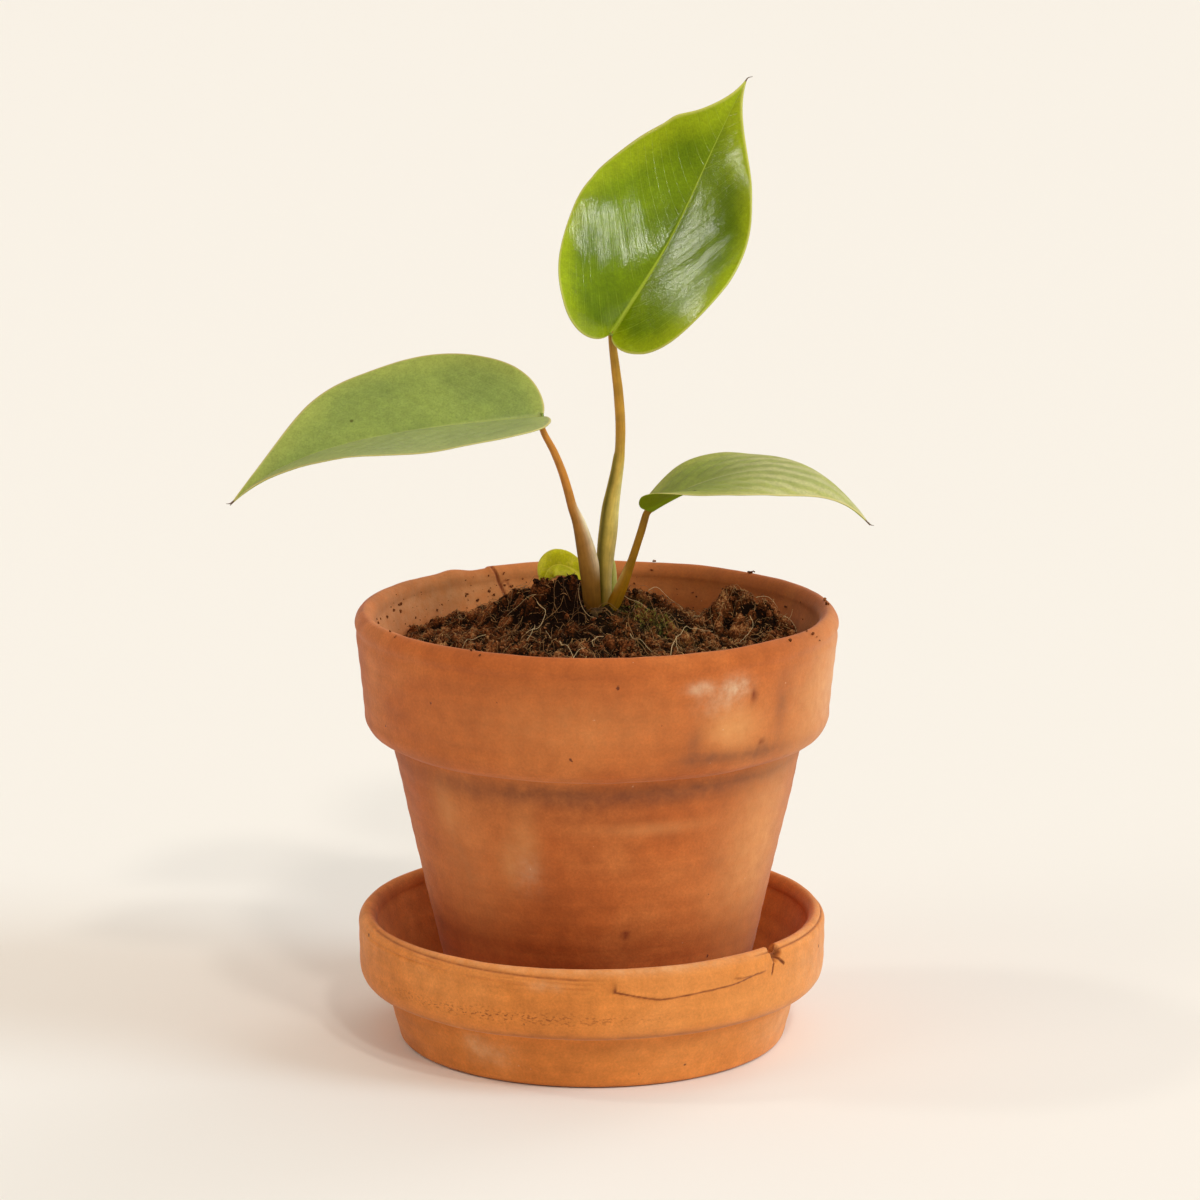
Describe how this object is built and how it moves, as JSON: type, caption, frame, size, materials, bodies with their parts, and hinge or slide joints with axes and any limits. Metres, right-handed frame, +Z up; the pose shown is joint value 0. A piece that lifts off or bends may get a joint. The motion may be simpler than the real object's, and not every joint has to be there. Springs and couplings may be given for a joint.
{
  "type": "potted burle marx philodendron",
  "caption": "Young philodendron with glossy heart-shaped leaves on slender stalks, rooted in dark soil in a terracotta pot that stands in a matching saucer.",
  "frame": {"origin": "on the pot's axis, in the plane of the saucer's flat underside", "axes": "+Z up along the pot's axis, -Y towards the viewer of the picture, -X along the left leaf and +X along the right leaf"},
  "size_m": [0.1715, 0.13, 0.2575],
  "materials": {
    "terracotta_saucer": "unglazed fired clay, matt, a little paler at the lip",
    "terracotta_pot": "unglazed fired clay, matt, faintly weathered",
    "potting_soil": "moist dark fibrous potting soil",
    "crown_bark": "olive brown rootstock skin, satin",
    "stalk": "smooth living leaf stalk, tan to olive, satin",
    "shoot": "smooth young shoot, pale yellow green, satin",
    "leaf_green": "leathery leaf, glossy mid green with a yellowish margin",
    "leaf_pale": "leathery leaf, semi-gloss with a pale sheen",
    "leaf_young": "soft young leaf, bright yellow green"
  },
  "bodies": {
    "root": {"saucer": "terracotta_saucer", "pot": "terracotta_pot", "potting_soil": "potting_soil", "crown_and_roots": "crown_bark", "stalk_top": "stalk", "stalk_left": "stalk", "stalk_right": "stalk", "new_shoot": "shoot", "stalk_young": "shoot", "blade_top": "leaf_green", "blade_left": "leaf_pale", "blade_right": "leaf_pale", "blade_young": "leaf_young"}
  },
  "joints": []
}
